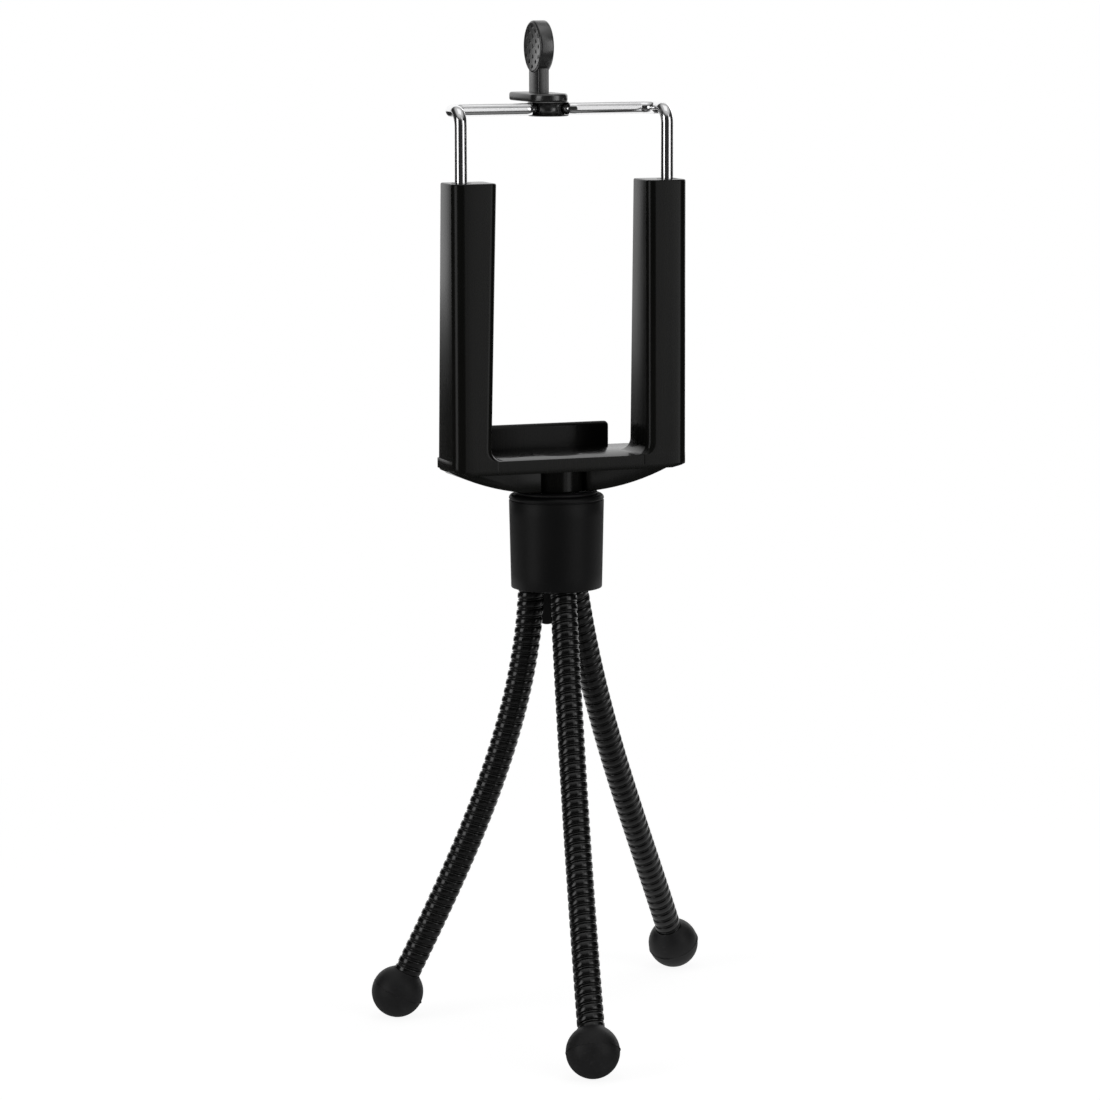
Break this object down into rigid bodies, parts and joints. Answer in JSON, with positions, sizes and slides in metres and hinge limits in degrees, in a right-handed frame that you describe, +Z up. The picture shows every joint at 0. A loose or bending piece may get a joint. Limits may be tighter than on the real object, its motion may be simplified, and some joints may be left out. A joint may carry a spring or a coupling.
{
  "type": "mini tripod with phone clamp",
  "caption": "Small tripod with bendable gooseneck legs on ball feet and a sprung wire clamp that grips a phone by its long edges.",
  "frame": {"origin": "middle of the footprint's box, on the surface that the feet stand on", "axes": "+Z up; +X along the clamp's width, to the right seen from behind; +Y towards the phone's side"},
  "size_m": [0.0803, 0.091, 0.2049],
  "materials": {
    "collar_plastic": "black moulded plastic, satin",
    "pad_rubber": "black soft rubber pad",
    "screw_steel": "zinc-plated steel",
    "hub_plastic": "black moulded plastic, matt",
    "clamp_plastic": "black moulded plastic, satin with a glossy shelf",
    "insert_brass": "turned brass",
    "cover_plastic": "black moulded plastic",
    "bush_plastic": "black moulded plastic",
    "spring_steel": "bright spring steel",
    "wire_chrome": "bright chrome-plated wire",
    "jaw_plastic": "black moulded plastic, satin",
    "gooseneck_metal": "black coated spiral steel band, semi-gloss",
    "core_steel": "drawn wire",
    "foot_rubber": "black rubber, matt, with a fine mould line"
  },
  "bodies": {
    "head": {"collar_shell": "collar_plastic", "top_pad": "pad_rubber", "clamp_screw": "screw_steel", "leg_hub": "hub_plastic", "left_leg_hose_0": "gooseneck_metal", "left_leg_core_0": "core_steel", "back_leg_hose_0": "gooseneck_metal", "back_leg_core_0": "core_steel", "right_leg_hose_0": "gooseneck_metal", "right_leg_core_0": "core_steel"},
    "clamp": {"clamp_body": "clamp_plastic", "threaded_insert": "insert_brass", "insert_cover": "cover_plastic", "left_guide_bush": "bush_plastic", "right_guide_bush": "bush_plastic", "left_spring": "spring_steel", "right_spring": "spring_steel"},
    "wire": {"sprung_wire": "wire_chrome", "left_wire_stop": "spring_steel", "right_wire_stop": "spring_steel"},
    "jaw": {"jaw_paddle": "jaw_plastic"},
    "left_leg_1": {"left_leg_hose_1": "gooseneck_metal", "left_leg_core_1": "core_steel"},
    "left_leg_2": {"left_leg_hose_2": "gooseneck_metal", "left_leg_core_2": "core_steel"},
    "left_leg_3": {"left_leg_hose_3": "gooseneck_metal", "left_leg_core_3": "core_steel"},
    "left_leg_4": {"left_leg_hose_4": "gooseneck_metal", "left_leg_core_4": "core_steel"},
    "left_leg_5": {"left_leg_hose_5": "gooseneck_metal", "left_leg_core_5": "core_steel", "left_foot": "foot_rubber"},
    "back_leg_1": {"back_leg_hose_1": "gooseneck_metal", "back_leg_core_1": "core_steel"},
    "back_leg_2": {"back_leg_hose_2": "gooseneck_metal", "back_leg_core_2": "core_steel"},
    "back_leg_3": {"back_leg_hose_3": "gooseneck_metal", "back_leg_core_3": "core_steel"},
    "back_leg_4": {"back_leg_hose_4": "gooseneck_metal", "back_leg_core_4": "core_steel"},
    "back_leg_5": {"back_leg_hose_5": "gooseneck_metal", "back_leg_core_5": "core_steel", "back_foot": "foot_rubber"},
    "right_leg_1": {"right_leg_hose_1": "gooseneck_metal", "right_leg_core_1": "core_steel"},
    "right_leg_2": {"right_leg_hose_2": "gooseneck_metal", "right_leg_core_2": "core_steel"},
    "right_leg_3": {"right_leg_hose_3": "gooseneck_metal", "right_leg_core_3": "core_steel"},
    "right_leg_4": {"right_leg_hose_4": "gooseneck_metal", "right_leg_core_4": "core_steel"},
    "right_leg_5": {"right_leg_hose_5": "gooseneck_metal", "right_leg_core_5": "core_steel", "right_foot": "foot_rubber"}
  },
  "joints": [
    {"name": "clamp_turn", "type": "hinge", "parent": "head", "child": "clamp", "pos_m": [-0.00381, 0.00777, 0.1101], "axis": [0, 0, 1], "range_deg": [-180, 180]},
    {"name": "wire_slide", "type": "slide", "parent": "clamp", "child": "wire", "axis": [0, 0, 1], "range_m": [-0.01115, 0.018], "stiffness_N_per_m": 250, "springref_m": -0.025, "deforming": ["left_spring", "right_spring"]},
    {"name": "jaw_swing", "type": "hinge", "parent": "wire", "child": "jaw", "pos_m": [-0.00381, 0.01197, 0.1873], "axis": [0, 0, 1], "range_deg": [-50, 50]},
    {"name": "left_leg_spread_1", "type": "hinge", "parent": "head", "child": "left_leg_1", "pos_m": [-0.0085, 0.01074, 0.08753], "axis": [0.3214, 0.9469, 0], "range_deg": [-10, 20]},
    {"name": "left_leg_sway_2", "type": "hinge", "parent": "left_leg_1", "child": "left_leg_2", "pos_m": [-0.01115, 0.01164, 0.07043], "axis": [-0.9145, 0.3104, 0.2594], "range_deg": [-18, 18]},
    {"name": "left_leg_spread_3", "type": "hinge", "parent": "left_leg_2", "child": "left_leg_3", "pos_m": [-0.01543, 0.01309, 0.05361], "axis": [0.3214, 0.9469, 0], "range_deg": [-10, 16]},
    {"name": "left_leg_sway_4", "type": "hinge", "parent": "left_leg_3", "child": "left_leg_4", "pos_m": [-0.02101, 0.01498, 0.03713], "axis": [-0.8698, 0.2952, 0.3954], "range_deg": [-18, 18]},
    {"name": "left_leg_spread_5", "type": "hinge", "parent": "left_leg_4", "child": "left_leg_5", "pos_m": [-0.02757, 0.01721, 0.02103], "axis": [0.3214, 0.9469, 0], "range_deg": [-10, 16]},
    {"name": "back_leg_spread_1", "type": "hinge", "parent": "head", "child": "back_leg_1", "pos_m": [-0.00433, 0.00142, 0.08755], "axis": [-0.974, 0.2264, 0], "range_deg": [-10, 20]},
    {"name": "back_leg_sway_2", "type": "hinge", "parent": "back_leg_1", "child": "back_leg_2", "pos_m": [-0.00601, -0.00582, 0.07058], "axis": [-0.2036, -0.8761, 0.4369], "range_deg": [-18, 18]},
    {"name": "back_leg_spread_3", "type": "hinge", "parent": "back_leg_2", "child": "back_leg_3", "pos_m": [-0.00785, -0.01371, 0.05391], "axis": [-0.974, 0.2264, 0], "range_deg": [-10, 16]},
    {"name": "back_leg_sway_4", "type": "hinge", "parent": "back_leg_3", "child": "back_leg_4", "pos_m": [-0.0098, -0.02214, 0.0375], "axis": [-0.1974, -0.8491, 0.4899], "range_deg": [-18, 18]},
    {"name": "back_leg_spread_5", "type": "hinge", "parent": "back_leg_4", "child": "back_leg_5", "pos_m": [-0.01186, -0.03099, 0.02132], "axis": [-0.974, 0.2264, 0], "range_deg": [-10, 16]},
    {"name": "right_leg_spread_1", "type": "hinge", "parent": "head", "child": "right_leg_1", "pos_m": [0.00143, 0.01063, 0.0874], "axis": [0.6627, -0.7488, 0], "range_deg": [-10, 20]},
    {"name": "right_leg_sway_2", "type": "hinge", "parent": "right_leg_1", "child": "right_leg_2", "pos_m": [0.00591, 0.0146, 0.06984], "axis": [0.6733, 0.5958, 0.4378], "range_deg": [-18, 18]},
    {"name": "right_leg_spread_3", "type": "hinge", "parent": "right_leg_2", "child": "right_leg_3", "pos_m": [0.01203, 0.02001, 0.05305], "axis": [0.6627, -0.7488, 0], "range_deg": [-10, 16]},
    {"name": "right_leg_sway_4", "type": "hinge", "parent": "right_leg_3", "child": "right_leg_4", "pos_m": [0.01925, 0.0264, 0.03685], "axis": [0.6263, 0.5543, 0.5481], "range_deg": [-18, 18]},
    {"name": "right_leg_spread_5", "type": "hinge", "parent": "right_leg_4", "child": "right_leg_5", "pos_m": [0.02702, 0.03327, 0.02101], "axis": [0.6627, -0.7488, 0], "range_deg": [-10, 16]}
  ]
}
